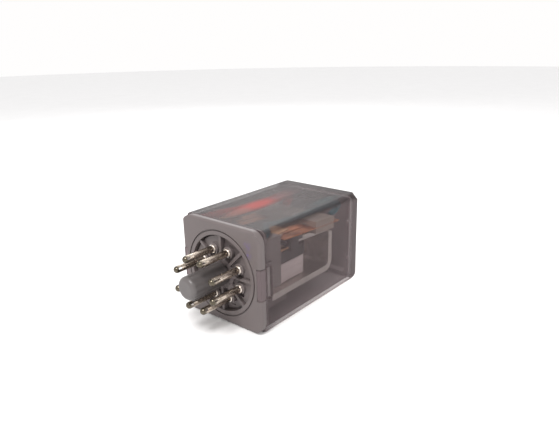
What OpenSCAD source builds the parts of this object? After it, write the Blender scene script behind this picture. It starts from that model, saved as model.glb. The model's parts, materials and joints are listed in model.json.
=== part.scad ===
// Eight-pin plug-in relay lying on its side.
// Origin: on the key post's axis, in the seating face of the base.
// +X runs towards the cap end, the pins point along -X, +Z is up.

/* [Case] */
// Width and height of the square case
case_w = 35.5; // [34:0.1:38]
// Length from the seating face to the cap end
case_len = 58; // [56:0.5:64]
// Radius of the cover's four long edges
edge_r = 2; // [1.5:0.1:3]
// Radius of the flange's four corners
flange_r = 4.3; // [3:0.1:5]
// Wall thickness of the cover
wall = 1.3; // [1:0.05:1.6]
// Thickness of the flange that shows outside the cover
flange_t = 2.3; // [1.8:0.1:2.6]
// Width of the seam between the flange and the cover
seam_w = 0.3; // [0.1:0.05:0.5]
// Rounding of the flange's front edge
flange_fillet = 1.1; // [0.5:0.1:1.4]
// Rounding of the cap's outer edge
cap_fillet = 2.2; // [1:0.1:3]

/* [Plug] */
// Diameter of the circle that the pins stand on
pin_circle_d = 17.45; // [17:0.05:18]
// Number of pins
pin_count = 8; // [8:1:8]
// Diameter of one pin
pin_d = 2.36; // [2:0.02:2.6]
// How far the pins stand out of the seating face
pin_len = 12.7; // [10:0.1:14]
// Diameter of the key post
post_d = 7.9; // [7:0.1:8.4]
// How far the key post stands out of the seating face
post_len = 15.5; // [13:0.1:18]
// Radius of the round recess in the face
recess_r = 13.4; // [12.8:0.1:14]
// Depth of the recess
recess_depth = 2.6; // [2:0.1:3]

/* [Magnet] */
// Thickness of the yoke's sheet
yoke_t = 2.2; // [1.6:0.1:2.4]
// Width of the yoke
yoke_w = 26; // [22:0.5:28]
// Outer radius of the yoke's bend
yoke_bend_r = 4; // [3:0.1:5]
// Thickness of the armature
armature_t = 1.8; // [1.4:0.1:2]
// Width of the armature
armature_w = 24; // [20:0.5:26]
// Angle that the armature stands open at rest
open_angle = 3.5; // [2.5:0.1:3.5]
// Side of the square coil
coil_side = 19; // [16:0.5:19]

/* [Contacts] */
// Width of a moving contact spring
spring_w = 8; // [6:0.1:8]
// Thickness of a moving contact spring
spring_t = 0.35; // [0.25:0.05:0.4]
// Distance of each pole's centre line from the middle
pole_y = 10.6; // [10:0.1:10.8]
// Radius of a contact button
contact_r = 1.6; // [1.2:0.1:1.8]
// Thickness of a fixed contact strip
strip_t = 0.5; // [0.3:0.05:0.6]
// Diameter of the red lead's sleeve
red_lead_d = 3; // [2:0.1:3]
// Diameter of the teal lead's sleeve
teal_lead_d = 2.2; // [1.4:0.1:2.2]

/* [Hidden] */

$fn = 48;
eps = 0.01;
fit = 0.02;

half_w = case_w / 2;
inner_half = half_w - wall;
inner_edge_r = edge_r - wall;
edge_reach = (half_w - edge_r) * sqrt(2) + edge_r + 0.05;
plate_half = inner_half - 0.05;
plate_x = 5;

// Latch on the two upright sides: a tongue of the cover in a notch of the
// flange, and a nib of the base in a window of the cover.
cover_x = flange_t + seam_w;
latch_z = 11.2;
latch_depth = 1.9;
window_x = [3.4, 6];
nib_x = [4.3, 5.6];

// Thicker ring of wall at the cap, where the cavity steps in.
step_x = 53.2;
step_in = 1.9;
cap_t = 1.7;
cap_corner_r = 4.3;

pin_r = pin_d / 2;
shank = [1.1, 0.5];
shoulder = [-0.1, 0.4, 0.22];
hub_r = 5.4;
rib_top = 0.35;
ring_r = pin_circle_d / 2;
post_r = post_d / 2;
post_root_r = post_r - 0.6;

// Magnet system, in the armature's closed position.
yoke_top = 4.6;
yoke_bottom = -10.75;
yoke_back = 46.4;
yoke_front = 11;
leg_top = yoke_bottom + yoke_t;
knife_r = 0.6;
coil_x = 25;
pole_r = 6.5;
pole_t = 1.2;
core_r = 4;
bobbin_top = yoke_top - pole_t;
winding_z = [leg_top + 1.2, bobbin_top - 4.4];
winding_half = coil_side / 2;
winding_r = 3;
tape_t = 0.3;
post = [12.2, 4.3, 0.7];
pivot = [yoke_back - knife_r, 0, yoke_top - knife_r];
seat_gap = 0.05;
armature_z = yoke_top + seat_gap;
armature_top = armature_z + armature_t;
nose_x = 17;
nose_half = 6;
shoulder_x = 22;
tail_half = 4;
tail_x = 51.5;
hook_x = 50.2;
hook_slot = 0.45;
screw_x = 13.2;
screw_y = 9;
screw_r = 1.25;

// Contact levels, counted with the armature closed.
spring_z = armature_top + 1.95;
button_h = 0.9;
contact_x = 17;
spring_x = [14, 48.6];
strip_x = 19.4;
strip_w = 6;
make_top = spring_z - button_h - 0.05;
make_z = make_top - button_h - strip_t;
lift_at_button = (pivot.x - contact_x + contact_r + 0.1) * sin(open_angle);
break_face = spring_z + spring_t + button_h + lift_at_button + 0.06;
break_z = break_face + button_h;
pad_r = 0.8;
carrier_x = [5.65, 12.6];
carrier_z = [2.5, 13.33];
carrier_half = 15.7;
block_x = [33.4, 44.6];
block_half = 14.8;
clamp_t = 2.2;
rivet_x = [35.9, 42.1];
rivet_y = 4.8;
rivet_r = 0.9;
bar_x = [20, 26.5];
bar_half = 14;
tab_t = 0.6;

// Routes of the insulated leads, from the spring tails to the base.
red_route = [
    [48, 10.6, 10.45], [49.6, 10.8, 10.85], [50.9, 11, 12.1], [50.8, 10.8, 13.4],
    [49, 10.4, 14.5], [45, 9.8, 14.85], [40, 9.4, 14.88], [34, 8.9, 14.88],
    [28, 8.2, 14.88], [22, 9.4, 14.88], [17, 11.6, 14.88], [12.5, 13.1, 14.88],
    [9, 13.6, 14.88], [6.2, 13.7, 14.88], [5.7, 13.7, 14.88]
];
teal_route = [
    [48, -10.6, 10.05], [49.8, -10.9, 10.4], [51.2, -11.5, 11.7], [51.2, -12.3, 13.4],
    [49.4, -12.9, 14.7], [45, -12.9, 15.15], [40, -12.6, 15.15], [35, -11.8, 14.8],
    [29, -9.6, 13.7], [23, -6.6, 12.8], [18.4, -5.4, 13], [14.6, -7.6, 14.4],
    [12, -10, 14.9], [9.5, -12.6, 14.95], [7.6, -13.9, 14.7], [5.7, -14.4, 14.5]
];

// ---------- Helpers ----------

// Pins are numbered clockwise as seen from the pin side, from the key post's ridge.
function pin_angle(n) = -112.5 + 45 * n;
function pin_at(n) = [ring_r * cos(pin_angle(n)), ring_r * sin(pin_angle(n))];

function smooth_at(p, i, t) =
    let (
        a = p[max(i - 1, 0)], b = p[i],
        c = p[i + 1], d = p[min(i + 2, len(p) - 1)]
    )
    0.5 * (2 * b + (c - a) * t + (2 * a - 5 * b + 4 * c - d) * t * t
        + (3 * b - a - 3 * c + d) * t * t * t);

function smooth(p, steps) = concat(
    [for (i = [0 : len(p) - 2]) for (s = [0 : steps - 1]) smooth_at(p, i, s / steps)],
    [p[len(p) - 1]]
);

function unit(v) = v / norm(v);
function tangent(p, i) = unit(p[min(i + 1, len(p) - 1)] - p[max(i - 1, 0)]);
function across(t) = unit(cross(t, abs(t.x) > 0.9 ? [0, 1, 0] : [1, 0, 0]));
function carried(side, t) = unit(side - (side * t) * t);

// A sideways direction for each point of a route, carried along it without a twist.
function sides_along(p) = [
    for (i = 0, s = across(tangent(p, 0)); i < len(p);
        i = i + 1, s = carried(s, tangent(p, min(i, len(p) - 1)))) s
];

// A box from its lowest corner to its highest corner.
module block(low, high) {
    translate(low) cube(high - low);
}

// Lays a flat shape drawn in (Y, Z) along X, from x0 to x1.
module along_x(x0, x1) {
    translate([x0, 0, 0]) rotate([90, 0, 90]) linear_extrude(x1 - x0) children();
}

// Square with round corners, centred.
module rounded_square(half, r) {
    square([2 * half, 2 * (half - r)], center = true);
    square([2 * (half - r), 2 * half], center = true);
    for (y = [-1, 1], z = [-1, 1]) translate([y * (half - r), z * (half - r)]) circle(r);
}

module x_cylinder(r, x0, x1) {
    translate([x0, 0, 0]) rotate([0, 90, 0]) cylinder(r = r, h = x1 - x0);
}

// Round tube of radius r swept along the points of a route.
module swept_wire(route, r, sides) {
    rings = len(route);
    across_route = sides_along(route);
    points = [for (i = [0 : rings - 1])
        let (side = across_route[i], up = cross(tangent(route, i), side))
        for (k = [0 : sides - 1])
            route[i] + r * (cos(360 * k / sides) * side + sin(360 * k / sides) * up)];
    faces = concat(
        [[for (k = [0 : sides - 1]) k]],
        [for (i = [0 : rings - 2]) for (k = [0 : sides - 1])
            let (a = i * sides + k, b = i * sides + (k + 1) % sides)
            each [[a, a + sides, b], [b, a + sides, b + sides]]],
        [[for (k = [sides - 1 : -1 : 0]) (rings - 1) * sides + k]]
    );
    polyhedron(points, faces, convexity = 8);
}

// Turns the moving group from its closed position to its open rest position.
module opened() {
    translate(pivot) rotate([0, open_angle, 0]) translate(-pivot) children();
}

// Copies a shape to the pole on one side, 1 for the far side and -1 for the near.
module on_pole(side) {
    if (side > 0) children();
    else mirror([0, 1, 0]) children();
}

// ---------- Case ----------

// Slab through the case at an angle round X, half wide each way, with its front
// and back edges rounded by r0 and r1.
module end_slab(angle, half, x0, x1, r0, r1) {
    r = max(r0, r1);
    rotate([angle, 0, 0]) translate([0, 0, -case_w]) linear_extrude(2 * case_w) {
        translate([x0 + r0, -half]) square([x1 - x0 - r0 - r1, 2 * half]);
        translate([x0, r - half]) square([x1 - x0, 2 * (half - r)]);
        for (s = [-1, 1]) {
            if (r0 > 0) translate([x0 + r0, s * (half - r0)]) circle(r0);
            if (r1 > 0) translate([x1 - r1, s * (half - r1)]) circle(r1);
        }
    }
}

// Solid length of the case: r rounds its long edges, r0 and r1 its end edges.
module case_block(x0, x1, r0, r1, r) {
    intersection() {
        along_x(x0, x1) rounded_square(half_w, r);
        end_slab(0, half_w, x0, x1, r0, r1);
        end_slab(90, half_w, x0, x1, r0, r1);
    }
}

// Wedge-shaped pad in one sector of the recess, around one pin.
module sector_pad(angle, top) {
    moat = 0.55;
    half_angle = 19;
    reach = 2 * recess_r;
    intersection() {
        along_x(top, recess_depth + eps) difference() {
            circle(recess_r - moat, $fn = 96);
            circle(hub_r - moat);
        }
        rotate([angle, 0, 0]) along_x(top, recess_depth + eps)
            polygon([[0, 0], [reach, -reach * tan(half_angle)], [reach, reach * tan(half_angle)]]);
    }
}

module base() {
    rib_t = 1;
    hub_top = 0.6;
    pad_top = 1.3;
    low_pad_top = 2;
    boss_r = 2;
    slot_half = 1.1;
    slot_z = [-3.2, -1];
    slot_floor = 2.3;
    groove = [14.75, 15.25, 0.5];
    arm_y = [6, 12];
    arm_t = 2.8;
    arm_x = 20;
    notch = half_w - latch_depth;
    color([0.53, 0.49, 0.49]) {
        difference() {
            union() {
                difference() {
                    union() {
                        case_block(0, flange_t, flange_fillet, 0, flange_r);
                        along_x(flange_t - eps, plate_x) rounded_square(plate_half, inner_edge_r);
                    }
                    x_cylinder(recess_r, -1, recess_depth, $fn = 96);
                    along_x(-1, groove[2]) difference() {
                        circle(groove[1], $fn = 96);
                        circle(groove[0], $fn = 96);
                    }
                    for (s = [-1, 1]) on_pole(s)
                        block([-1, notch, -latch_z / 2], [flange_t, half_w + 1, latch_z / 2]);
                }
                for (n = [0 : pin_count - 1])
                    sector_pad(22.5 + 45 * n, n % 3 == 2 ? low_pad_top : pad_top);
                for (n = [0 : pin_count - 1]) rotate([45 * n, 0, 0])
                    block([rib_top, hub_r - 1, -rib_t / 2],
                        [recess_depth + eps, recess_r + eps, rib_t / 2]);
                for (n = [1 : pin_count]) translate([0, pin_at(n)[0], pin_at(n)[1]])
                    x_cylinder(boss_r, shoulder[1] + fit, recess_depth + eps);
                x_cylinder(hub_r, hub_top, recess_depth + eps);
                index_mark();
            }
            for (n = [1 : pin_count]) translate([0, pin_at(n)[0], pin_at(n)[1]]) {
                block([-1, -slot_half, slot_z[0]], [slot_floor, slot_half, slot_z[1]]);
                block([0, -shank.x - fit, -shank.y - fit],
                    [plate_x + 1, shank.x + fit, shank.y + fit]);
            }
            x_cylinder(post_root_r + fit, -1, plate_x + 1);
        }
        for (s = [-1, 1]) on_pole(s) latch_pad();
        for (s = [-1, 1]) on_pole(s)
            block([plate_x - eps, arm_y[0], yoke_bottom - arm_t],
                [arm_x, arm_y[1], yoke_bottom]);
    }
}

// Small U-shaped upstand beside the key post, over the rib at the lower near side.
module index_mark() {
    far = [5, 8.2];
    half = 1.3;
    hollow = [5.9, 0.5];
    hollow_floor = 1.6;
    rotate([225, 0, 0]) difference() {
        block([rib_top / 2, far[0], -half], [recess_depth, far[1], half]);
        block([-1, hollow[0], -hollow[1]], [hollow_floor, far[1] + 1, hollow[1]]);
    }
}

// Lug of the base that carries the latch nib behind the cover's window.
module latch_pad() {
    lug = [7.4, 0.65, 6.2];
    nib = [0.3, 4.8];
    block([plate_x - eps, plate_half - lug.y, -lug.z], [lug.x, plate_half, lug.z]);
    block([nib_x[0], plate_half - eps, -nib[1]], [nib_x[1], plate_half + nib[0], nib[1]]);
}

module key_post() {
    dome = 1.4;
    ridge_r = 1.1;
    ridge_end = 2.6;
    color([0.62, 0.59, 0.59]) {
        rotate([0, -90, 0]) rotate_extrude() {
            square([post_r, post_len - dome]);
            square([post_r - dome, post_len]);
            translate([post_r - dome, post_len - dome]) intersection() {
                circle(dome);
                square(dome);
            }
        }
        x_cylinder(post_root_r, -eps, plate_x);
        translate([ridge_end - post_len, 0, -post_r]) rotate([0, 90, 0])
            cylinder(r = ridge_r, h = post_len - ridge_end - ridge_r);
    }
}

// One plug pin of rolled sheet: a seam runs down its side to a long eye near the
// tip, and a shoulder and a flat shank hold it in the base.
module pin(n) {
    at = pin_at(n);
    eye_x = [1.1 - pin_len, 4 - pin_len];
    eye_half = 0.28;
    seam = [0.13, 0.35];
    seam_end = -0.9;
    seam_turn = -25;
    color([0.72, 0.66, 0.52]) translate([0, at[0], at[1]]) {
        difference() {
            union() {
                x_cylinder(pin_r, pin_r - pin_len, shoulder[0]);
                translate([pin_r - pin_len, 0, 0]) sphere(pin_r);
            }
            rotate([seam_turn, 0, 0]) {
                block([eye_x[0], -pin_r - 1, -eye_half], [eye_x[1], pin_r + 1, eye_half]);
                block([eye_x[1] - eps, -pin_r - 1, -seam[0]], [seam_end, seam[1] - pin_r, seam[0]]);
            }
        }
        x_cylinder(pin_r + shoulder[2], shoulder[0], shoulder[1]);
        block([shoulder[1], -shank.x, -shank.y], [plate_x, shank.x, shank.y]);
    }
}

module cover() {
    stub = [2, 1, 0.9];
    stub_z = 7.4;
    label_half = 11.5;
    label_depth = 0.35;
    tongue_z = latch_z / 2 - 0.3;
    tongue_x = 0.25;
    tongue_y = half_w - 0.1;
    color([0.55, 0.53, 0.54, 0.5]) {
        difference() {
            intersection() {
                case_block(cover_x, case_len, 0, cap_fillet, edge_r);
                end_slab(45, edge_reach, cover_x, case_len, 0, cap_corner_r);
                end_slab(-45, edge_reach, cover_x, case_len, 0, cap_corner_r);
            }
            along_x(cover_x - 1, step_x) rounded_square(inner_half, inner_edge_r);
            along_x(cover_x, case_len - cap_t) rounded_square(inner_half - step_in, 1.5);
            for (s = [-1, 1]) on_pole(s)
                block([window_x[0], inner_half - 1, -latch_z / 2],
                    [window_x[1], half_w + 1, latch_z / 2]);
            block([case_len - label_depth, -label_half, -label_half],
                [case_len + 1, label_half, label_half]);
        }
        for (a = [0 : 90 : 270], s = [-1, 1]) rotate([a, 0, 0])
            translate([step_x - stub[0], inner_half - stub[2], s * stub_z - stub[1] / 2])
                cube([stub[0] + eps, stub[2] + eps, stub[1]]);
        for (s = [-1, 1]) on_pole(s) {
            block([tongue_x, half_w - latch_depth + 0.1, -tongue_z],
                [flange_t - 0.05, tongue_y, tongue_z]);
            block([tongue_x, inner_half + fit, -tongue_z], [cover_x + eps, tongue_y, tongue_z]);
        }
    }
}

// ---------- Magnet ----------

module yoke() {
    inner_r = yoke_bend_r - yoke_t;
    lug_half = 2.5;
    lug_z = [-8, -7];
    stem_r = core_r - 1 + fit;
    color([0.74, 0.73, 0.72]) difference() {
        union() {
            rotate([90, 0, 0]) translate([0, 0, -yoke_w / 2]) linear_extrude(yoke_w) {
                translate([yoke_front, yoke_bottom])
                    square([yoke_back - yoke_bend_r - yoke_front, yoke_t]);
                translate([yoke_back - yoke_t, yoke_bottom + yoke_bend_r])
                    square([yoke_t, yoke_top - yoke_bottom - yoke_bend_r - knife_r]);
                translate([yoke_back - yoke_t, yoke_bottom + yoke_bend_r])
                    square([yoke_t - knife_r, yoke_top - yoke_bottom - yoke_bend_r]);
                translate([pivot.x, pivot.z]) circle(knife_r);
                translate([yoke_back - yoke_bend_r, yoke_bottom + yoke_bend_r])
                    intersection() {
                        difference() {
                            circle(yoke_bend_r);
                            circle(inner_r);
                        }
                        translate([0, -yoke_bend_r]) square(yoke_bend_r);
                    }
            }
            block([yoke_back - eps, -lug_half, lug_z[0]], [tail_x, lug_half, lug_z[1]]);
        }
        translate([coil_x, 0, yoke_bottom - 1]) cylinder(r = stem_r, h = yoke_t + 2);
        for (s = [-1, 1]) translate([screw_x, s * screw_y, yoke_bottom - 1])
            cylinder(r = screw_r + fit, h = yoke_t + 2);
        block([hook_x - hook_slot, -hook_slot, lug_z[0] - 1], [tail_x + 1, hook_slot, lug_z[1] + 1]);
    }
}

module core() {
    color([0.68, 0.68, 0.68]) translate([coil_x, 0, 0]) {
        translate([0, 0, yoke_bottom - 0.7]) cylinder(r = core_r - 1, h = yoke_t + 0.7 + eps);
        translate([0, 0, leg_top]) cylinder(r = core_r, h = yoke_top - pole_t - leg_top + eps);
        translate([0, 0, yoke_top - pole_t]) cylinder(r = pole_r, h = pole_t);
    }
}

// Two screws that clamp the yoke's foot to the arms of the base.
module yoke_screws() {
    head_h = 1.1;
    head_r = 2.1;
    slot = [0.3, 0.5];
    color([0.78, 0.77, 0.74]) for (s = [-1, 1]) translate([screw_x, s * screw_y, leg_top]) {
        difference() {
            cylinder(r = head_r, h = head_h);
            block([-head_r - 1, -slot[0], head_h - slot[1]], [head_r + 1, slot[0], head_h + 1]);
        }
        translate([0, 0, -yoke_t + fit]) cylinder(r = screw_r, h = yoke_t);
    }
}

module bobbin() {
    tube_r = core_r + 1.2;
    lug_y = [3.2, 6.2];
    lug_t = 1;
    color([0.16, 0.14, 0.13]) difference() {
        union() {
            translate([coil_x, 0, leg_top]) linear_extrude(winding_z[0] - leg_top)
                rounded_square(winding_half - 0.05, winding_r);
            translate([coil_x, 0, winding_z[1]]) linear_extrude(bobbin_top - winding_z[1])
                rounded_square(winding_half + 0.5, 3);
            translate([coil_x, 0, leg_top]) cylinder(r = tube_r, h = bobbin_top - leg_top);
            for (s = [-1, 1]) on_pole(s)
                block([post.x - 0.4, lug_y[0], winding_z[1]],
                    [coil_x - winding_half + 1, lug_y[1], winding_z[1] + lug_t]);
        }
        translate([coil_x, 0, leg_top - 1]) cylinder(r = core_r + 0.05, h = 20);
    }
}

module coil_winding() {
    color([0.62, 0.30, 0.16]) translate([coil_x, 0, winding_z[0] + fit]) difference() {
        linear_extrude(winding_z[1] - winding_z[0] - 2 * fit) rounded_square(winding_half, winding_r);
        translate([0, 0, -1]) cylinder(r = core_r + 1.2 + fit, h = 20);
    }
}

// Wrap of tape round the winding and the rim of the lower flange.
module coil_tape() {
    low = leg_top + 0.2;
    high = winding_z[1] - 0.3;
    color([0.86, 0.80, 0.79]) translate([coil_x, 0, low])
        linear_extrude(high - low) difference() {
            rounded_square(winding_half + tape_t, winding_r + tape_t);
            rounded_square(winding_half + eps, winding_r + eps);
        }
}

// Terminal post of the coil, hanging from its lug of the bobbin.
module coil_terminal(side) {
    post_len = 4;
    color([0.76, 0.72, 0.62]) on_pole(side)
        block([post.x, post.y, winding_z[1] - post_len],
            [post.x + post.z, post.y + post.z, winding_z[1]]);
}

// Bare wire from the coil's post to the tab on its plug pin.
module coil_lead(side) {
    wire_r = 0.35;
    tab_y = [7, 9.2];
    tab_z = [-4.6, -2];
    route = [
        [post.x - 0.05, 4.65, -1.9], [10.8, 4.9, -1.9], [9.6, 5.8, -2.2],
        [8, 7, -2.8], [6.4, 7.9, -3.2], [5.62, 8.1, -3.3]
    ];
    color([0.76, 0.45, 0.30]) on_pole(side) {
        swept_wire(smooth(route, 3), wire_r, 8);
        block([plate_x, tab_y[0], tab_z[0]], [plate_x + 0.4, tab_y[1], tab_z[1]]);
    }
}

// ---------- Armature group ----------

module armature() {
    edge_x = yoke_back - 0.35;
    color([0.72, 0.71, 0.70]) opened() difference() {
        union() {
            block([nose_x, -nose_half, armature_z], [shoulder_x + 1, nose_half, armature_top]);
            block([shoulder_x, -armature_w / 2, armature_z],
                [edge_x, armature_w / 2, armature_top]);
            block([yoke_back - 1, -tail_half, armature_z], [tail_x, tail_half, armature_top]);
        }
        block([hook_x - hook_slot, -hook_slot, armature_z - 1],
            [tail_x + 1, hook_slot, armature_top + 1]);
    }
}

// Sheet clip on the yoke's back, with two ears over the armature's edge.
module armature_retainer() {
    sheet = 0.5;
    ear_top = armature_top + 0.95;
    ear_y = [6, 9.5];
    face = yoke_back + fit;
    web_z = [-5.5, -3];
    color([0.80, 0.79, 0.76]) {
        for (s = [-1, 1]) on_pole(s) {
            block([face, ear_y[0], web_z[1]], [face + sheet, ear_y[1], ear_top]);
            block([yoke_back - 1.1, ear_y[0], ear_top - sheet], [face + sheet, ear_y[1], ear_top]);
        }
        block([face, -ear_y[1], web_z[0]], [face + sheet, ear_y[1], web_z[1]]);
    }
}

// Tension spring from the yoke's lug to the armature's tail.
module return_spring() {
    wire_r = 0.2;
    turns = 13;
    coil_r = 1.3;
    low = -6.3;
    high = 3.2;
    coils = [for (i = [0 : turns * 12])
        [hook_x + coil_r * cos(30 * i), coil_r * sin(30 * i), low + (high - low) * i / (turns * 12)]];
    foot = [[49, 0, -8.32], [49.9, 0, -8.5], [hook_x + 0.1, 0, -8.1], [hook_x + 0.1, 0, -7.2],
        [hook_x + 0.5, 0, -6.8]];
    head = [[hook_x + 0.5, 0, 3.7], [hook_x + 0.1, 0, 4.2], [hook_x + 0.1, 0, 6.4],
        [49.9, 0, 6.9], [49, 0, 6.6]];
    color([0.70, 0.70, 0.72]) swept_wire(concat(foot, coils, head), wire_r, 6);
}

// Bar at the armature's free end that the contact springs rest on, with an end
// that hangs down beside the coil on each side.
module actuator_bar() {
    rest_gap = 0.05;
    groove_x = [22.4, 24.1];
    end_x = 24.4;
    end_z = 3.2;
    color([0.13, 0.12, 0.12]) opened() difference() {
        union() {
            block([bar_x[0], -bar_half, armature_top], [bar_x[1], bar_half, spring_z - rest_gap]);
            for (s = [-1, 1]) on_pole(s)
                block([bar_x[0], armature_w / 2 + 0.2, end_z],
                    [end_x, bar_half, armature_top + eps]);
        }
        for (s = [-1, 1]) on_pole(s)
            block([groove_x[0], nose_half, spring_z - 0.6], [groove_x[1], bar_half + 1, spring_z + 1]);
    }
}

// Insulating block on the armature, under the contact springs.
module spring_block() {
    color([0.66, 0.60, 0.50]) opened() difference() {
        block([block_x[0], -block_half, armature_top], [block_x[1], block_half, spring_z]);
        clamp_holes();
    }
}

// Insulating plate that clamps the contact springs onto the block.
module spring_clamp() {
    middle = pole_y - spring_w / 2 - 0.2;
    color([0.70, 0.64, 0.54]) opened() difference() {
        union() {
            block([block_x[0], -block_half, spring_z + spring_t],
                [block_x[1], block_half, spring_z + spring_t + clamp_t]);
            block([block_x[0], -middle, spring_z],
                [block_x[1], middle, spring_z + spring_t + eps]);
        }
        clamp_holes();
    }
}

module at_rivets() {
    for (x = rivet_x, y = [-rivet_y, rivet_y]) translate([x, y, armature_top]) children();
}

module clamp_holes() {
    at_rivets() translate([0, 0, -1]) cylinder(r = rivet_r + fit, h = 9);
}

module clamp_rivets() {
    head = [1.5, 0.6];
    long = spring_z + spring_t + clamp_t - armature_top;
    color([0.78, 0.76, 0.70]) opened() at_rivets() {
        cylinder(r = rivet_r, h = long + eps);
        translate([0, 0, long]) cylinder(r = head[0], h = head[1]);
    }
}

// Contact spring with a slit along its middle and clipped corners at its free end.
module moving_spring(side) {
    y0 = pole_y - spring_w / 2;
    slit_x = [19.5, block_x[0] - 3];
    slit_half = 0.35;
    clip = 1.4;
    low = spring_z - 1;
    high = spring_z + 1;
    color([0.78, 0.45, 0.28]) opened() on_pole(side) difference() {
        block([spring_x[0], y0, spring_z], [spring_x[1], y0 + spring_w, spring_z + spring_t]);
        translate([contact_x, pole_y, low]) cylinder(r = pad_r + fit, h = 3);
        block([slit_x[0], pole_y - slit_half, low], [slit_x[1], pole_y + slit_half, high]);
        for (e = [y0 - eps, y0 + spring_w - clip + eps])
            block([spring_x[0] - 1, e, low], [spring_x[0] + clip, e + clip, high]);
    }
}

module moving_contact(side) {
    color([0.82, 0.80, 0.78]) opened() on_pole(side) translate([contact_x, pole_y, 0]) {
        translate([0, 0, spring_z - button_h]) cylinder(r = contact_r, h = button_h);
        translate([0, 0, spring_z - eps]) cylinder(r = pad_r, h = spring_t + 2 * eps);
        translate([0, 0, spring_z + spring_t]) cylinder(r = contact_r, h = button_h);
    }
}

// ---------- Fixed contacts ----------

// Blade of a fixed contact, at a height, from the carrier to its free end.
module blade(z) {
    block([plate_x + fit, pole_y - strip_w / 2, z], [strip_x, pole_y + strip_w / 2, z + strip_t]);
}

// Flat tab against the base, from its lowest to its highest (Y, Z).
module tab(low, high) {
    block([plate_x + fit, low[0], low[1]], [plate_x + tab_t, high[0], high[1]]);
}

// Strip of the contact that makes, below the moving one.
module make_strip(side) {
    foot_y = [7.7, 9.9];
    foot_z = 2.6;
    color([0.74, 0.62, 0.38]) on_pole(side) {
        blade(make_z);
        tab([foot_y[0], foot_z], [foot_y[1], make_z + eps]);
    }
}

module make_contact(side) {
    color([0.82, 0.80, 0.78]) on_pole(side)
        translate([contact_x, pole_y, make_z + strip_t]) cylinder(r = contact_r, h = button_h);
}

// Strip of the contact that breaks, above the moving one.
module break_strip(side) {
    foot_y = [2.2, 4.4];
    foot_z = 7.2;
    web_z = break_z - 1.5;
    color([0.74, 0.62, 0.38]) on_pole(side) {
        blade(break_z);
        tab([foot_y[0], web_z], [pole_y + strip_w / 2, break_z + eps]);
        tab([foot_y[0], foot_z], [foot_y[1], break_z]);
    }
}

module break_contact(side) {
    color([0.82, 0.80, 0.78]) on_pole(side)
        translate([contact_x, pole_y, break_face]) cylinder(r = contact_r, h = button_h);
}

// Strip that brings the common contact's current up the base to its lead.
module common_strip(side) {
    riser_y = [13.8, 15.6];
    riser_top = 14.9;
    foot_y = 2.2;
    foot_z = [-9, -7.2];
    color([0.74, 0.62, 0.38]) on_pole(side) {
        tab([foot_y, foot_z[0]], [riser_y[1], foot_z[1]]);
        tab([riser_y[0], foot_z[0]], [riser_y[1], riser_top]);
    }
}

// Insulating block that holds the blades of all four fixed contacts, with a skirt
// that hangs down at each side wall.
module contact_carrier() {
    gap = 0.03;
    heel = 1.6;
    skirt_y = 13.7;
    skirt_z = -4.3;
    pocket_x = 8;
    pocket_y = [2.4, 6];
    pocket_z = [make_z + 2, break_z - 1.6];
    color([0.45, 0.42, 0.41]) difference() {
        union() {
            block([carrier_x[0], -carrier_half, carrier_z[0]], [carrier_x[1], carrier_half, carrier_z[1]]);
            block([plate_x, -heel, carrier_z[0]], [carrier_x[0] + eps, heel, carrier_z[1]]);
            for (s = [-1, 1]) on_pole(s)
                block([carrier_x[0], skirt_y, skirt_z], [carrier_x[1], carrier_half, carrier_z[0] + eps]);
        }
        for (s = [-1, 1], z = [make_z, break_z]) on_pole(s)
            block([0, pole_y - strip_w / 2 - gap, z - gap],
                [20, pole_y + strip_w / 2 + gap, z + strip_t + gap]);
        for (s = [-1, 1]) on_pole(s)
            block([pocket_x, pocket_y[0], pocket_z[0]], [carrier_x[1] + 1, pocket_y[1], pocket_z[1]]);
    }
}

// ---------- Leads ----------

module red_lead() {
    color([0.86, 0.20, 0.13]) swept_wire(smooth(red_route, 2), red_lead_d / 2, 8);
}

module teal_lead() {
    color([0.16, 0.42, 0.46]) swept_wire(smooth(teal_route, 2), teal_lead_d / 2, 8);
}

// ---------- Assembly ----------

base();
key_post();
pin(1);  // pin_1
pin(2);  // pin_2
pin(3);  // pin_3
pin(4);  // pin_4
pin(5);  // pin_5
pin(6);  // pin_6
pin(7);  // pin_7
pin(8);  // pin_8
cover();
contact_carrier();
yoke();
core();
yoke_screws();
bobbin();
coil_winding();
coil_tape();
coil_terminal(1);  // coil_terminal_1
coil_terminal(-1);  // coil_terminal_2
coil_lead(1);  // coil_lead_1
coil_lead(-1);  // coil_lead_2
armature();
armature_retainer();
return_spring();
actuator_bar();
spring_block();
spring_clamp();
clamp_rivets();
moving_spring(1);  // moving_spring_1
moving_spring(-1);  // moving_spring_2
moving_contact(1);  // moving_contact_1
moving_contact(-1);  // moving_contact_2
make_strip(1);  // make_strip_1
make_strip(-1);  // make_strip_2
make_contact(1);  // make_contact_1
make_contact(-1);  // make_contact_2
break_strip(1);  // break_strip_1
break_strip(-1);  // break_strip_2
break_contact(1);  // break_contact_1
break_contact(-1);  // break_contact_2
common_strip(1);  // common_strip_1
common_strip(-1);  // common_strip_2
red_lead();
teal_lead();
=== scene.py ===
"""Looks of the plug-in relay.

Camera, light, materials and the smooth pieces that stand for plain CAD solids.
"""

import json
import math

import bmesh
import bpy
from mathutils import Matrix, Vector


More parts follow.
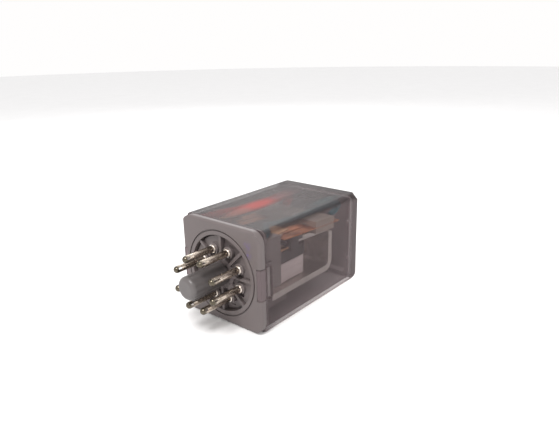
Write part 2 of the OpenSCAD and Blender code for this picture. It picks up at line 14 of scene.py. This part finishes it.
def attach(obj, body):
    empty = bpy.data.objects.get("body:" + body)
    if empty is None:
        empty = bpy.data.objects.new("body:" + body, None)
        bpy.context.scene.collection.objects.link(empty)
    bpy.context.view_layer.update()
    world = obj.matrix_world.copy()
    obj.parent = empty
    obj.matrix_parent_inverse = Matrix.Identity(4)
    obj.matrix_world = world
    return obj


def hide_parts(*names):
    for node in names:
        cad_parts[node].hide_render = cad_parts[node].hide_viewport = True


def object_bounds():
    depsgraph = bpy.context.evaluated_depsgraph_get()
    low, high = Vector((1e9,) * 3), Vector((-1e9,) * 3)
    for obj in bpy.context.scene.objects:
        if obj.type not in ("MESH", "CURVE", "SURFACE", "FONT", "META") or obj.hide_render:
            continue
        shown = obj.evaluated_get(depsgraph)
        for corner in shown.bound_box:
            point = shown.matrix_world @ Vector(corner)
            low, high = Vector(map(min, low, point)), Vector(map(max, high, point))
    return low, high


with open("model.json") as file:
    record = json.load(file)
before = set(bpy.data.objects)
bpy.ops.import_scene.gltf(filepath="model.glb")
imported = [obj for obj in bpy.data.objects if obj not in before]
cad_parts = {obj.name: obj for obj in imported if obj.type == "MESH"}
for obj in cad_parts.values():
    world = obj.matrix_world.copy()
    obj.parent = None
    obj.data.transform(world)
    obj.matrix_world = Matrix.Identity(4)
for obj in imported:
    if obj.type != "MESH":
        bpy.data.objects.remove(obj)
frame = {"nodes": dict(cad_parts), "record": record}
cad_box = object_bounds()

MM = 0.001
NODES = frame["nodes"]
HOUSING = "housing"


# ---------- Node helpers ----------


class Shader:
    """A node material under construction, with its Principled shader."""

    def __init__(self, name):
        self.material = bpy.data.materials.new(name)
        self.material.use_nodes = True
        self.tree = self.material.node_tree
        self.principled = self.tree.nodes["Principled BSDF"]
        self.space = self.new("ShaderNodeTexCoord").outputs["Object"]

    def new(self, kind, **values):
        node = self.tree.nodes.new(kind)
        for key, value in values.items():
            setattr(node, key, value)
        return node

    def link(self, source, target):
        self.tree.links.new(source, target)

    def feed(self, target, value):
        """Links a socket, or sets a plain value."""
        if isinstance(value, bpy.types.NodeSocket):
            self.link(value, target)
        else:
            target.default_value = value

    def set(self, **values):
        """Sets plain values on the Principled shader, by socket name with _ for a space."""
        for key, value in values.items():
            self.principled.inputs[key.replace("_", " ")].default_value = value

    def placed(self, stretch=(1, 1, 1), source=None):
        mapping = self.new("ShaderNodeMapping")
        mapping.inputs["Scale"].default_value = stretch
        self.link(source or self.space, mapping.inputs["Vector"])
        return mapping.outputs["Vector"]

    def noise(self, size, detail=4.0, rough=0.55, stretch=(1, 1, 1), distort=0.0):
        """Noise whose blobs are about size metres across, from 0 to 1."""
        node = self.new("ShaderNodeTexNoise")
        node.inputs["Scale"].default_value = 1 / size
        node.inputs["Detail"].default_value = detail
        node.inputs["Roughness"].default_value = rough
        node.inputs["Distortion"].default_value = distort
        self.link(self.placed(stretch), node.inputs["Vector"])
        return node.outputs["Fac"]

    def bands(self, pitch, direction="Z", source=None, distort=0.0):
        """Even bands with a pitch in metres along one axis, from 0 to 1."""
        node = self.new("ShaderNodeTexWave", bands_direction=direction)
        node.inputs["Scale"].default_value = math.pi / (10 * pitch)
        node.inputs["Distortion"].default_value = distort
        self.link(source or self.space, node.inputs["Vector"])
        return node.outputs["Fac"]

    def ramp(self, value, low, high, out_low=0.0, out_high=1.0):
        node = self.new("ShaderNodeMapRange")
        node.inputs["From Min"].default_value = low
        node.inputs["From Max"].default_value = high
        node.inputs["To Min"].default_value = out_low
        node.inputs["To Max"].default_value = out_high
        self.link(value, node.inputs["Value"])
        return node.outputs["Result"]

    def sums(self, operation, a, b):
        node = self.new("ShaderNodeMath", operation=operation)
        self.feed(node.inputs[0], a)
        self.feed(node.inputs[1], b)
        return node.outputs[0]

    def mix(self, factor, a, b):
        """Colour between a and b, each a colour or a socket."""
        node = self.new("ShaderNodeMix", data_type="RGBA")
        self.feed(node.inputs["Factor"], factor)
        for socket, value in ((node.inputs[6], a), (node.inputs[7], b)):
            self.feed(socket, value if isinstance(value, bpy.types.NodeSocket) else (*value, 1))
        return node.outputs[2]

    def bump(self, height, depth, normal=None):
        """Bump of depth metres from a height of 0 to 1."""
        node = self.new("ShaderNodeBump")
        node.inputs["Strength"].default_value = 1.0
        node.inputs["Distance"].default_value = depth
        self.link(height, node.inputs["Height"])
        if normal is not None:
            self.link(normal, node.inputs["Normal"])
        return node.outputs["Normal"]

    def rounded(self, radius):
        """Normal of a surface whose edges are rounded by radius metres."""
        node = self.new("ShaderNodeBevel", samples=4)
        node.inputs["Radius"].default_value = radius
        return node.outputs["Normal"]

    def edges(self, radius, gain=1.6):
        """1 along edges and 0 on flat ground."""
        dot = self.new("ShaderNodeVectorMath", operation="DOT_PRODUCT")
        self.link(self.rounded(radius), dot.inputs[0])
        self.link(self.new("ShaderNodeNewGeometry").outputs["True Normal"], dot.inputs[1])
        return self.ramp(dot.outputs["Value"], 1.0, 1.0 - 0.45 / gain)

    def colour(self, value):
        self.feed(self.principled.inputs["Base Color"], value)

    def roughness(self, value):
        self.feed(self.principled.inputs["Roughness"], value)

    def normal(self, value):
        self.link(value, self.principled.inputs["Normal"])

    def spot(self, centre, reach):
        """1 at a centre, falling smoothly to 0 at reach metres along each axis."""
        near = self.new("ShaderNodeMapping", vector_type="TEXTURE")
        near.inputs["Location"].default_value = centre
        near.inputs["Scale"].default_value = reach
        self.link(self.space, near.inputs["Vector"])
        away = self.new("ShaderNodeVectorMath", operation="LENGTH")
        self.link(near.outputs["Vector"], away.inputs[0])
        fall = self.new("ShaderNodeMapRange", interpolation_type="SMOOTHSTEP")
        fall.inputs["From Min"].default_value = 1.0
        fall.inputs["From Max"].default_value = 0.2
        self.link(away.outputs["Value"], fall.inputs["Value"])
        return fall.outputs["Result"]

    def pass_light(self, tint):
        """Lets all but camera rays through with a tint, so that the room lights what is inside."""
        clear = self.new("ShaderNodeBsdfTransparent")
        clear.inputs["Color"].default_value = (*tint, 1)
        mixed = self.new("ShaderNodeMixShader")
        output = self.tree.nodes["Material Output"]
        self.link(self.new("ShaderNodeLightPath").outputs["Is Camera Ray"], mixed.inputs[0])
        self.link(clear.outputs[0], mixed.inputs[1])
        self.link(self.principled.outputs[0], mixed.inputs[2])
        self.link(mixed.outputs[0], output.inputs["Surface"])

    def along(self, axis, low, high):
        """0 at the low place on an axis and 1 at the high one, in metres."""
        place = self.new("ShaderNodeSeparateXYZ")
        self.link(self.space, place.inputs[0])
        return self.ramp(place.outputs[axis], low, high)

    def between(self, axis, low, high, soft=0.0002):
        """1 between two places on an axis and 0 beyond them, in metres."""
        return self.sums("MULTIPLY", self.along(axis, low, low + soft), self.along(axis, high, high - soft))

    def recolour(self, factor, colour):
        """Mixes a colour over the finished base colour."""
        base = self.principled.inputs["Base Color"].links[0].from_socket
        self.colour(self.mix(factor, base, colour))


def shade(colour, factor):
    return tuple(c * factor for c in colour)


def scaled(millimetres):
    """A place or a size in metres, from one in millimetres."""
    return tuple(c * MM for c in millimetres)


# ---------- Materials ----------


def moulded_plastic(name, colour, rough=0.42, grain=0.00035, depth=0.000012, edge=0.0003, lift=1.28):
    """Moulded thermoplastic: fine spark grain, faint flow marks, dust, and edges polished by handling."""
    s = Shader(name)
    flow = s.noise(0.009, detail=3, stretch=(0.35, 1, 1), distort=0.6)
    speck = s.noise(0.0008, detail=2)
    base = s.mix(s.ramp(flow, 0.35, 0.7), shade(colour, 0.95), shade(colour, 1.05))
    dusty = s.mix(s.ramp(speck, 0.62, 0.8, 0, 0.25), base, shade(colour, 1.3))
    worn = s.edges(edge)
    s.colour(s.mix(s.sums("MULTIPLY", worn, 0.75), dusty, shade(colour, lift)))
    s.roughness(s.ramp(flow, 0.3, 0.75, rough - 0.06, rough + 0.08))
    s.normal(s.bump(s.noise(grain, detail=2), depth, s.rounded(edge)))
    s.set(Specular_IOR_Level=0.42)
    return s


def metal(name, colour, rough=0.3, along="X", tarnish=None, edge=0.00012, streak=0.5):
    """Rolled or drawn metal: hair-fine streaks along one axis, tarnish in patches, bright edges."""
    s = Shader(name)
    stretch = {"X": (0.03, 1, 1), "Y": (1, 0.03, 1), "Z": (1, 1, 0.03)}[along]
    hair = s.noise(0.00012, detail=3, stretch=stretch)
    patch = s.noise(0.0022, detail=5, rough=0.6, distort=0.8)
    old = tarnish or shade(colour, 0.6)
    tone = s.mix(s.ramp(patch, 0.48, 0.72, 0, 0.85), colour, old)
    lined = s.mix(s.ramp(hair, 0.3, 0.7, 0, streak), tone, shade(colour, 0.75))
    s.colour(s.mix(s.sums("MULTIPLY", s.edges(edge), 0.8), lined, shade(colour, 1.25)))
    worn = s.ramp(patch, 0.4, 0.75, rough - 0.05, rough + 0.16)
    s.roughness(s.sums("ADD", worn, s.ramp(hair, 0.3, 0.7, 0, 0.06)))
    s.normal(s.bump(hair, 0.000005, s.rounded(edge)))
    s.set(Metallic=1.0)
    return s


# Painted glow on the inner face of the cover's top wall, each a centre, a reach along each axis and a
# colour.
# The glows stand for the blurred light of the red lead (three) and of the teal lead (one) in frosted
# plastic.
TOP_PAINTED_GLOWS = [
    ((26, 6, 16.4), (15, 5.8, 0.9), (0.36, 0.024, 0.018)),
    ((15, 5.2, 16.4), (9.5, 4, 0.9), (0.22, 0.075, 0.055)),
    ((43, 6.2, 16.4), (12, 3.6, 0.9), (0.15, 0.060, 0.062)),
    ((44, -11, 16.4), (13, 3.4, 0.9), (0.035, 0.085, 0.092)),
]


def smoky_cover(name, colour):
    """Smoky frosted cover: a see-through grey haze that differs from wall to wall, with painted shade on
    the top wall, a painted highlight along the rounded edges and painted glows of the leads.

    The veil is how much of what lies behind is hidden. The tones and veils of the walls are
    set for the main view, because an opacity can't blur what is behind it as frosted
    plastic does.
    """
    inner_face = 16.5 * MM
    face_reach = 0.3 * MM
    cavity = 16.6 * MM
    s = Shader(name)
    haze = s.noise(0.012, detail=4, distort=0.5)
    scuff = s.noise(0.0006, detail=6, rough=0.7, stretch=(0.08, 1, 0.5))
    # Rounded edges: denser plastic in the veil, and a painted highlight in the tone.
    thick_edges_and_highlight = s.edges(0.0012, gain=1.0)
    cap = s.along("X", 51.5 * MM, 53.5 * MM)
    tongue = s.along("X", 2.7 * MM, 2.4 * MM)
    top = s.along("Z", 15.0 * MM, 16.4 * MM)
    far_inside = s.between("Y", inner_face - face_reach, inner_face + face_reach)
    bottom_inside = s.between("Z", -inner_face - face_reach, -inner_face + face_reach)
    away = s.sums("MAXIMUM", far_inside, bottom_inside)
    square = s.sums("MULTIPLY", s.between("Y", -cavity, cavity), s.between("Z", -cavity, cavity))
    end = s.sums("MULTIPLY", square, cap)
    cleared = s.spot(scaled((22.5, 3, 17.7)), scaled((22, 9, 0.9)))

    # Place, share of the new tone, and its brightness against the plain colour, one over the other.
    tones = [
        (cap, 0.6, 1.1),
        # Painted shade: the top wall darkened against the strong lamp above it.
        (top, 0.8, 0.40),
        # Painted highlight along the rounded edges, on top of their denser plastic.
        (thick_edges_and_highlight, 0.65, 3.4),
        (tongue, 1.0, 2.0),
        (away, 0.6, 4.0),
        (end, 0.8, 3.4),
    ]
    veils = [(top, 0.25), (cap, 0.38), (thick_edges_and_highlight, 0.16), (tongue, 0.45), (away, 0.28), (cleared, -0.40)]
    painted_glow_veil = 0.28
    most_veil = 0.97

    body = s.mix(s.ramp(haze, 0.3, 0.7), shade(colour, 0.94), shade(colour, 1.06))
    for place, share, brightness in tones:
        body = s.mix(s.sums("MULTIPLY", place, share), body, shade(colour, brightness))
    veil = s.sums("ADD", s.ramp(haze, 0.3, 0.7, 0.46, 0.51), s.ramp(scuff, 0.66, 0.8, 0, 0.04))
    for place, amount in veils:
        veil = s.sums("ADD", veil, s.sums("MULTIPLY", place, amount))
    # Painted glow of the leads, mixed into the top wall's colour and veil.
    for centre, reach, tint in TOP_PAINTED_GLOWS:
        glow = s.spot(scaled(centre), scaled(reach))
        body = s.mix(glow, body, tint)
        veil = s.sums("ADD", veil, s.sums("MULTIPLY", glow, painted_glow_veil))

    s.colour(body)
    s.link(s.sums("MINIMUM", veil, most_veil), s.principled.inputs["Alpha"])
    s.roughness(s.ramp(scuff, 0.3, 0.8, 0.28, 0.42))
    ripple = s.bump(haze, 0.00010, s.rounded(0.0004))
    s.normal(s.bump(s.noise(0.0003, detail=2), 0.000004, ripple))
    s.set(IOR=1.5, Specular_IOR_Level=0.07)
    s.pass_light((0.92, 0.90, 0.90))
    return s


def coil_wrap(name, colour):
    """Woven glass tape wound round the coil in overlapping turns."""
    s = Shader(name)
    weave = s.sums("MULTIPLY", s.bands(0.00045, "X"), s.bands(0.00045, "Z"))
    turns = s.bands(0.0042, "Z", distort=0.4)
    stain = s.noise(0.005, detail=4)
    tone = s.mix(s.ramp(stain, 0.35, 0.7), colour, shade(colour, 0.86))
    s.colour(s.mix(s.ramp(turns, 0.0, 0.12, 0.45, 0.0), tone, shade(colour, 0.6)))
    s.roughness(0.72)
    s.normal(s.bump(turns, 0.0001, s.bump(weave, 0.00004)))
    s.set(Sheen_Weight=0.2, Sheen_Roughness=0.5)
    return s


def wound_copper(name, colour):
    """Close turns of enamelled wire, one above the other."""
    s = Shader(name)
    turns = s.bands(0.00022, "Z")
    s.colour(s.mix(s.ramp(turns, 0.1, 0.6), shade(colour, 0.35), colour))
    s.roughness(0.28)
    s.normal(s.bump(turns, 0.00007))
    s.set(Metallic=0.85, Coat_Weight=0.6, Coat_Roughness=0.15)
    return s


def sleeve(name, colour):
    """Braided and lacquered insulating sleeve, patterned along its own length by its UV map."""
    s = Shader(name)
    uv = s.new("ShaderNodeUVMap", uv_map="route").outputs["UV"]
    strands = []
    for lean in (1, -1):
        mapping = s.new("ShaderNodeMapping")
        mapping.inputs["Rotation"].default_value = (0, 0, lean * math.radians(38))
        s.link(uv, mapping.inputs["Vector"])
        strands.append(s.bands(0.00055, "X", source=mapping.outputs["Vector"]))
    braid = s.sums("MAXIMUM", strands[0], strands[1])
    patch = s.noise(0.004, detail=3)
    tone = s.mix(s.ramp(patch, 0.35, 0.7), shade(colour, 0.85), shade(colour, 1.1))
    s.colour(s.mix(s.ramp(braid, 0.3, 0.9), shade(colour, 0.6), tone))
    s.roughness(0.45)
    s.normal(s.bump(braid, 0.00006))
    s.set(Sheen_Weight=0.15)
    return s


def ink_smudge(s, colour, places):
    """Rubs faint ink blots of a colour into a finished plastic at places on its face."""
    wobble = s.noise(0.0011, detail=4, distort=1.5)
    total = 0.0
    for place, radius in places:
        away = s.new("ShaderNodeVectorMath", operation="DISTANCE")
        s.link(s.space, away.inputs[0])
        away.inputs[1].default_value = place
        near = s.ramp(away.outputs["Value"], radius * 1.3, radius * 0.3)
        total = s.sums("ADD", total, s.sums("MULTIPLY", near, s.ramp(wobble, 0.42, 0.62)))
    s.recolour(s.sums("MULTIPLY", total, 0.4), colour)


def make_materials():
    grey = (0.124, 0.103, 0.102)
    looks = {
        "base_plastic": moulded_plastic("base_plastic", grey),
        # Post plastic: the base plastic darkened, painted shade between the pins.
        "post_plastic": moulded_plastic("post_plastic", (0.076, 0.067, 0.066), rough=0.36),
        "smoky_cover": smoky_cover("smoky_cover", (0.068, 0.054, 0.056)),
        "carrier_plastic": moulded_plastic("carrier_plastic", (0.20, 0.17, 0.165)),
        "black_plastic": moulded_plastic("black_plastic", (0.014, 0.011, 0.011), rough=0.38, lift=2.4),
        "tan_plastic": moulded_plastic("tan_plastic", (0.40, 0.32, 0.27), rough=0.5),
        "plated_steel": metal("plated_steel", (0.66, 0.60, 0.57), rough=0.34, along="X"),
        "pole_iron": metal("pole_iron", (0.42, 0.41, 0.41), rough=0.30, along="Y"),
        "zinc_hardware": metal("zinc_hardware", (0.66, 0.64, 0.60), rough=0.26, along="Z"),
        "enamelled_copper": wound_copper("enamelled_copper", (0.50, 0.16, 0.07)),
        "coil_tape": coil_wrap("coil_tape", (0.93, 0.79, 0.78)),
        "tinned_brass": metal("tinned_brass", (0.60, 0.56, 0.46), rough=0.3, along="Z"),
        "spring_wire": metal("spring_wire", (0.52, 0.52, 0.54), rough=0.22, along="Z"),
        "plated_pin": metal(
            "plated_pin", (0.70, 0.61, 0.52), rough=0.2, along="X", tarnish=(0.10, 0.08, 0.045)
        ),
        "copper_spring": metal(
            "copper_spring", (0.72, 0.27, 0.11), rough=0.30, along="X", tarnish=(0.42, 0.13, 0.05)
        ),
        "contact_silver": metal("contact_silver", (0.78, 0.74, 0.70), rough=0.25, along="Y"),
        "brass_strip": metal("brass_strip", (0.62, 0.34, 0.18), rough=0.28, along="X"),
        "red_sleeve": sleeve("red_sleeve", (0.90, 0.07, 0.03)),
        "teal_sleeve": sleeve("teal_sleeve", (0.02, 0.20, 0.25)),
    }
    pin, post = looks["plated_pin"], looks["post_plastic"]
    pin.recolour(pin.sums("MULTIPLY", pin.along("X", -0.0106, -0.0118), 0.9), (0.07, 0.06, 0.04))
    # Painted highlight: the pins' shoulders whitened where their glints fall.
    pin.recolour(pin.along("X", -0.0009, -0.0003), (0.92, 0.86, 0.80))
    # Painted light: the post's front end lightened where the light falls on it.
    post.recolour(post.along("X", -0.0140, -0.0152), (0.114, 0.103, 0.102))
    ink_smudge(looks["base_plastic"], (0.12, 0.07, 0.30), [
        ((0, -12.6 * MM, 12.6 * MM), 1.5 * MM),
        ((0, -13.0 * MM, 9.6 * MM), 1.3 * MM),
    ])
    return {name: s.material for name, s in looks.items()}


# ---------- Meshes ----------


def smooth_route(points, steps):
    """Catmull-Rom curve through points, as a list of vectors."""
    p = [Vector(q) for q in points]
    out = []
    for i in range(len(p) - 1):
        a, b, c, d = p[max(i - 1, 0)], p[i], p[i + 1], p[min(i + 2, len(p) - 1)]
        for k in range(steps):
            t = k / steps
            out.append(0.5 * (2 * b + (c - a) * t + (2 * a - 5 * b + 4 * c - d) * t ** 2
                              + (3 * b - a - 3 * c + d) * t ** 3))
    return out + [p[-1]]


def tube(name, route, radius, sides=20, swell=None):
    """Closed tube along a route, with a UV map called route in metres along and round it."""
    bm = bmesh.new()
    uv = bm.loops.layers.uv.new("route")
    last = len(route) - 1
    side = None
    rings = []
    along = 0.0
    distances = []
    for i, point in enumerate(route):
        ahead = (route[min(i + 1, last)] - route[max(i - 1, 0)]).normalized()
        if side is None:
            side = ahead.orthogonal().normalized()
        side = (side - ahead * side.dot(ahead)).normalized()
        up = ahead.cross(side)
        along += (point - route[i - 1]).length if i else 0.0
        distances.append(along)
        r = radius * (swell(i / last) if swell else 1.0)
        rings.append([
            bm.verts.new(point + r * (math.cos(a) * side + math.sin(a) * up))
            for a in (math.tau * k / sides for k in range(sides))
        ])
    girth = math.tau * radius
    for i in range(last):
        for k in range(sides):
            n = (k + 1) % sides
            face = bm.faces.new((rings[i][k], rings[i][n], rings[i + 1][n], rings[i + 1][k]))
            face.smooth = True
            corners = ((i, k), (i, k + 1), (i + 1, k + 1), (i + 1, k))
            for loop, (ring, turn) in zip(face.loops, corners):
                loop[uv].uv = (distances[ring], girth * turn / sides)
    bm.faces.new(list(reversed(rings[0])))
    bm.faces.new(rings[-1])
    mesh = bpy.data.meshes.new(name)
    bm.to_mesh(mesh)
    bm.free()
    piece = bpy.data.objects.new(name, mesh)
    bpy.context.scene.collection.objects.link(piece)
    return piece


def dress(piece, material, body=None):
    """Gives a new piece its material and slot, and a body to ride on."""
    piece.data.materials.append(material)
    if body:
        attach(piece, body)
    return piece


# ---------- Pieces ----------


def lead(name, node, points, diameter, material):
    """Insulated lead along its route, in place of its plain solid."""
    route = smooth_route([scaled(p) for p in points], 8)

    def mouth(t):
        """The sleeve is a little slack at its two ends."""
        end = min(t, 1 - t)
        return 1.0 - 0.14 * math.exp(-end / 0.015)

    piece = tube(name, route, diameter / 2 * MM, sides=24, swell=mouth)
    dress(piece, material, HOUSING)
    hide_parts(node)
    return piece


def helix_spring(material):
    """Tension spring with a hook at each end, round wire."""
    wire = 0.2 * MM
    radius = 1.3 * MM
    centre_x = 50.2 * MM
    turns = 13
    bottom, top = -6.3 * MM, 3.2 * MM
    count = turns * 24
    coils = [
        Vector((centre_x + radius * math.cos(math.tau * i / 24), radius * math.sin(math.tau * i / 24),
                bottom + (top - bottom) * i / count))
        for i in range(count + 1)
    ]
    foot = [(49, 0, -8.32), (49.9, 0, -8.5), (50.3, 0, -8.1), (50.3, 0, -7.2), (50.7, 0, -6.8)]
    head = [(50.7, 0, 3.7), (50.3, 0, 4.2), (50.3, 0, 6.4), (49.9, 0, 6.9), (49, 0, 6.6)]
    hook = [Vector(p) * MM for p in foot]
    eye = [Vector(p) * MM for p in head]
    route = smooth_route(hook, 5) + coils + smooth_route(eye, 5)
    piece = tube("return_spring_wire", route, wire, sides=12)
    dress(piece, material, HOUSING)
    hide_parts("return_spring")
    return piece


# Diameters and routes of the insulated leads in millimetres, as in the CAD.
RED_DIAMETER = 3.0
TEAL_DIAMETER = 2.2
RED_ROUTE = [
    (48, 10.6, 10.45), (49.6, 10.8, 10.85), (50.9, 11, 12.1), (50.8, 10.8, 13.4),
    (49, 10.4, 14.5), (45, 9.8, 14.85), (40, 9.4, 14.88), (34, 8.9, 14.88),
    (28, 8.2, 14.88), (22, 9.4, 14.88), (17, 11.6, 14.88), (12.5, 13.1, 14.88),
    (9, 13.6, 14.88), (6.2, 13.7, 14.88), (5.7, 13.7, 14.88),
]
TEAL_ROUTE = [
    (48, -10.6, 10.05), (49.8, -10.9, 10.4), (51.2, -11.5, 11.7), (51.2, -12.3, 13.4),
    (49.4, -12.9, 14.7), (45, -12.9, 15.15), (40, -12.6, 15.15), (35, -11.8, 14.8),
    (29, -9.6, 13.7), (23, -6.6, 12.8), (18.4, -5.4, 13), (14.6, -7.6, 14.4),
    (12, -10, 14.9), (9.5, -12.6, 14.95), (7.6, -13.9, 14.7), (5.7, -14.4, 14.5),
]


# ---------- Camera, light and floor ----------


def look_along(azimuth, elevation, roll):
    """Rotation of a camera that looks along an azimuth from +X and down by an elevation."""
    forward = Vector((
        math.cos(azimuth) * math.cos(elevation),
        math.sin(azimuth) * math.cos(elevation),
        -math.sin(elevation),
    ))
    return forward.to_track_quat("-Z", "Y").to_matrix() @ Matrix.Rotation(roll, 3, "Z")


def add_camera():
    data = bpy.data.cameras.new("camera")
    camera = bpy.data.objects.new("camera", data)
    bpy.context.scene.collection.objects.link(camera)
    data.sensor_width = 36
    data.lens = 34.58
    data.clip_start = 0.005
    camera.location = (-113.14 * MM, -119.75 * MM, 73.88 * MM)
    turned = look_along(math.radians(39.69), math.radians(19.12), math.radians(-1.08))
    camera.rotation_euler = turned.to_euler()
    bpy.context.scene.camera = camera


def add_area(name, place, aim, size, power, colour=(1, 1, 1)):
    data = bpy.data.lights.new(name, "AREA")
    data.shape = "DISK"
    data.size = size
    data.energy = power
    data.color = colour
    light = bpy.data.objects.new(name, data)
    light.location = place
    light.rotation_euler = (Vector(aim) - Vector(place)).to_track_quat("-Z", "Y").to_euler()
    bpy.context.scene.collection.objects.link(light)


def add_floor(height):
    """Round pale floor at a height, which the relay rests on."""
    bm = bmesh.new()
    bmesh.ops.create_circle(bm, cap_ends=True, segments=96, radius=1.6)
    mesh = bpy.data.meshes.new("floor")
    bm.to_mesh(mesh)
    bm.free()
    floor = bpy.data.objects.new("floor", mesh)
    floor.location = (0.02, 0, height)
    bpy.context.scene.collection.objects.link(floor)
    s = Shader("floor")
    s.colour(s.mix(s.ramp(s.noise(0.03, detail=3), 0.3, 0.7), (0.86, 0.86, 0.865), (0.88, 0.88, 0.885)))
    s.roughness(0.85)
    mesh.materials.append(s.material)


def add_world():
    world = bpy.data.worlds.new("studio")
    world.use_nodes = True
    background = world.node_tree.nodes["Background"]
    background.inputs["Color"].default_value = (1.0, 0.99, 0.985, 1)
    background.inputs["Strength"].default_value = 1.0
    bpy.context.scene.world = world


def main():
    scene = bpy.context.scene
    scene.view_settings.view_transform = "Standard"
    add_camera()
    add_world()
    add_floor(cad_box[0][2])
    centre = (0.025, 0, 0)
    add_area("key", (-0.22, -0.08, 0.40), centre, 0.16, 1.6, (1.0, 0.985, 0.97))
    add_area("fill", (0.20, -0.40, 0.22), centre, 0.30, 0.2)
    add_area("rim", (0.35, 0.30, 0.30), centre, 0.25, 0.6)

    materials = make_materials()
    slots = {entry["node"]: entry["material_slot"] for entry in frame["record"]["subparts"]}
    for node, piece in NODES.items():
        piece.data.materials.clear()
        piece.data.materials.append(materials[slots[node]])

    red, teal = materials["red_sleeve"], materials["teal_sleeve"]
    lead("red_lead_sleeve", "red_lead", RED_ROUTE, RED_DIAMETER, red)
    lead("teal_lead_sleeve", "teal_lead", TEAL_ROUTE, TEAL_DIAMETER, teal)
    helix_spring(materials["spring_wire"])

    bpy.context.view_layer.update()


main()
